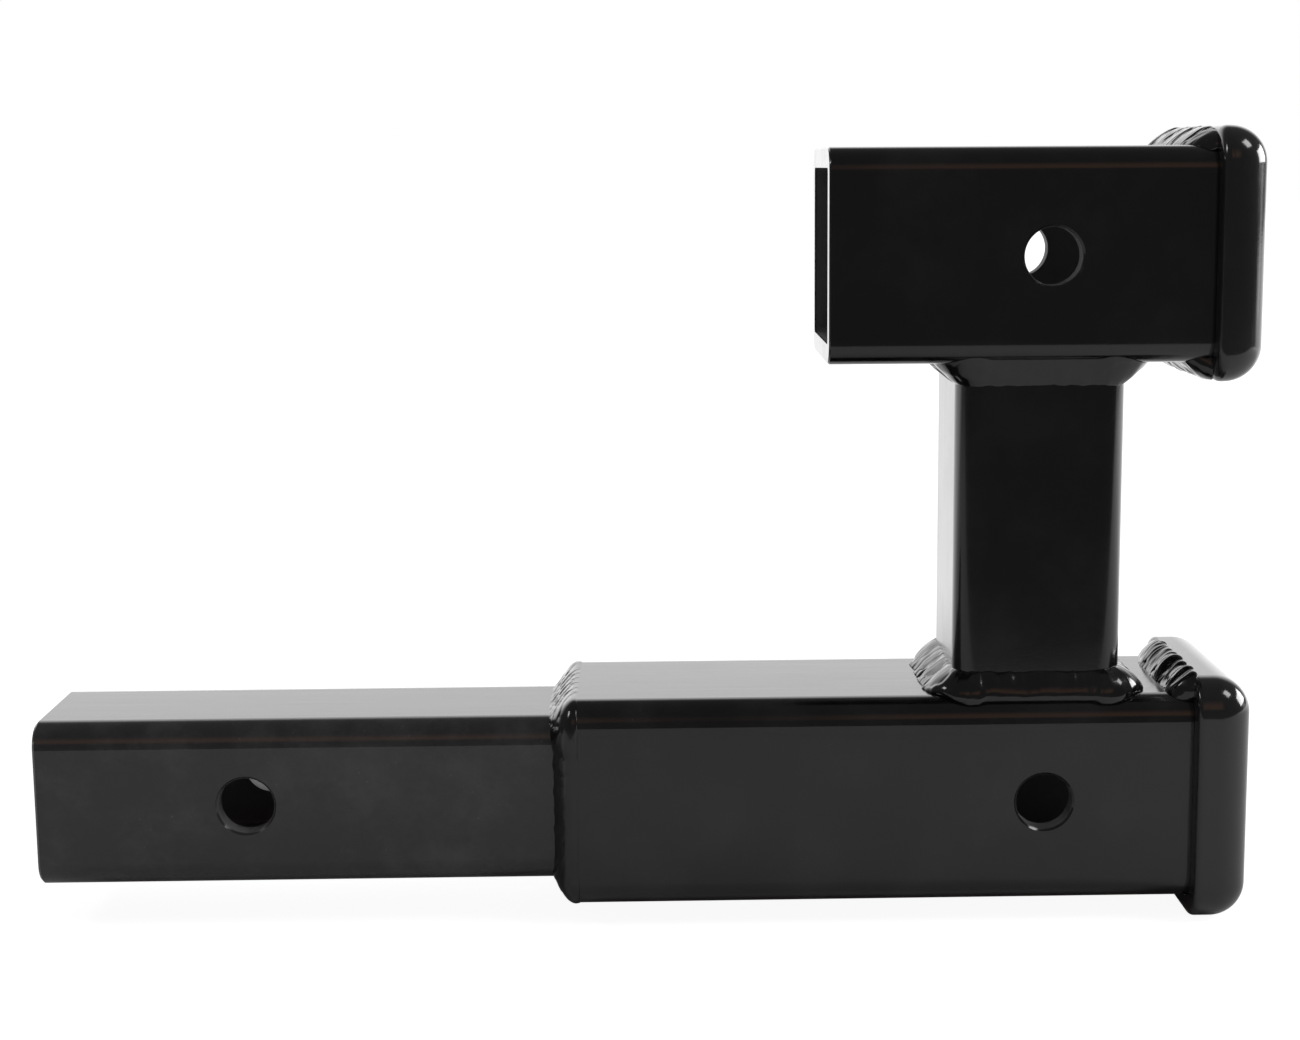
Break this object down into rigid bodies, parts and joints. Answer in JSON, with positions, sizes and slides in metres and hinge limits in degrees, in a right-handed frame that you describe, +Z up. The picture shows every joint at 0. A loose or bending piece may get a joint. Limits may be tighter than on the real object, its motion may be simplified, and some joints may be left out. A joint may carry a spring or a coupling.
{
  "type": "hitch receiver extender",
  "caption": "Welded square-tube extender that plugs into a vehicle's hitch receiver and carries a lower and an upper receiver.",
  "frame": {"origin": "centre of the shank's pin hole, halfway across the shank", "axes": "+X along the tubes from the shank to the receivers' mouths, +Y along the pin holes, +Z up from the lower receiver to the upper one"},
  "size_m": [0.3673, 0.075, 0.239],
  "materials": {
    "painted_tube": "gloss",
    "painted_collar": "gloss",
    "painted_weld": "gloss"
  },
  "bodies": {
    "root": {"shank_tube": "painted_tube", "lower_receiver_tube": "painted_tube", "upper_receiver_tube": "painted_tube", "riser_tube": "painted_tube", "lower_collar": "painted_collar", "upper_collar": "painted_collar", "shank_weld": "painted_weld", "riser_foot_weld": "painted_weld", "riser_head_weld": "painted_weld", "lower_collar_top_weld": "painted_weld", "upper_collar_top_weld": "painted_weld", "upper_collar_bottom_weld": "painted_weld"}
  },
  "joints": []
}
